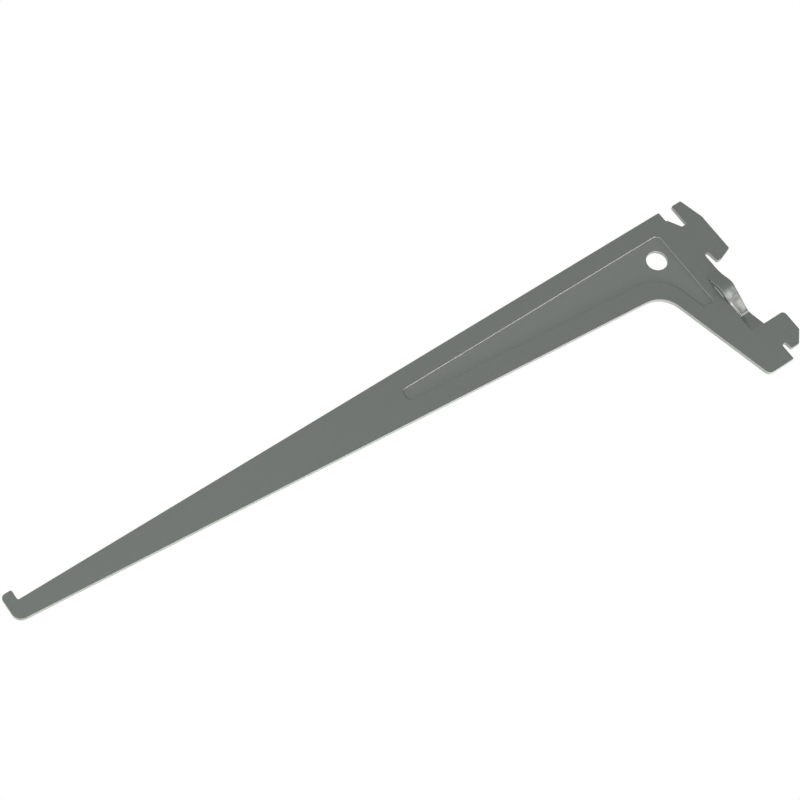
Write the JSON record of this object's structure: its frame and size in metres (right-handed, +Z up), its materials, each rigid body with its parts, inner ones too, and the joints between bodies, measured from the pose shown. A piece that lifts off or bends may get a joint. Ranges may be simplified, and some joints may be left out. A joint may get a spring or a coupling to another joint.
{
  "type": "shelf bracket",
  "caption": "Flat stamped steel shelf bracket with a tapering arm, raised front lip and rear hooks that hang in a slotted wall rail.",
  "frame": {"origin": "seat of the upper hook, on the rail's face, in the middle of the sheet", "axes": "+X from the rail towards the front lip, +Y out of the face with the sunk panel, +Z up, so the shelf lies on the arm's upper edge"},
  "size_m": [0.3264, 0.0074, 0.0883],
  "materials": {
    "painted_steel": "satin metallic grey paint on steel sheet"
  },
  "bodies": {
    "root": {"bracket": "painted_steel"}
  },
  "joints": []
}
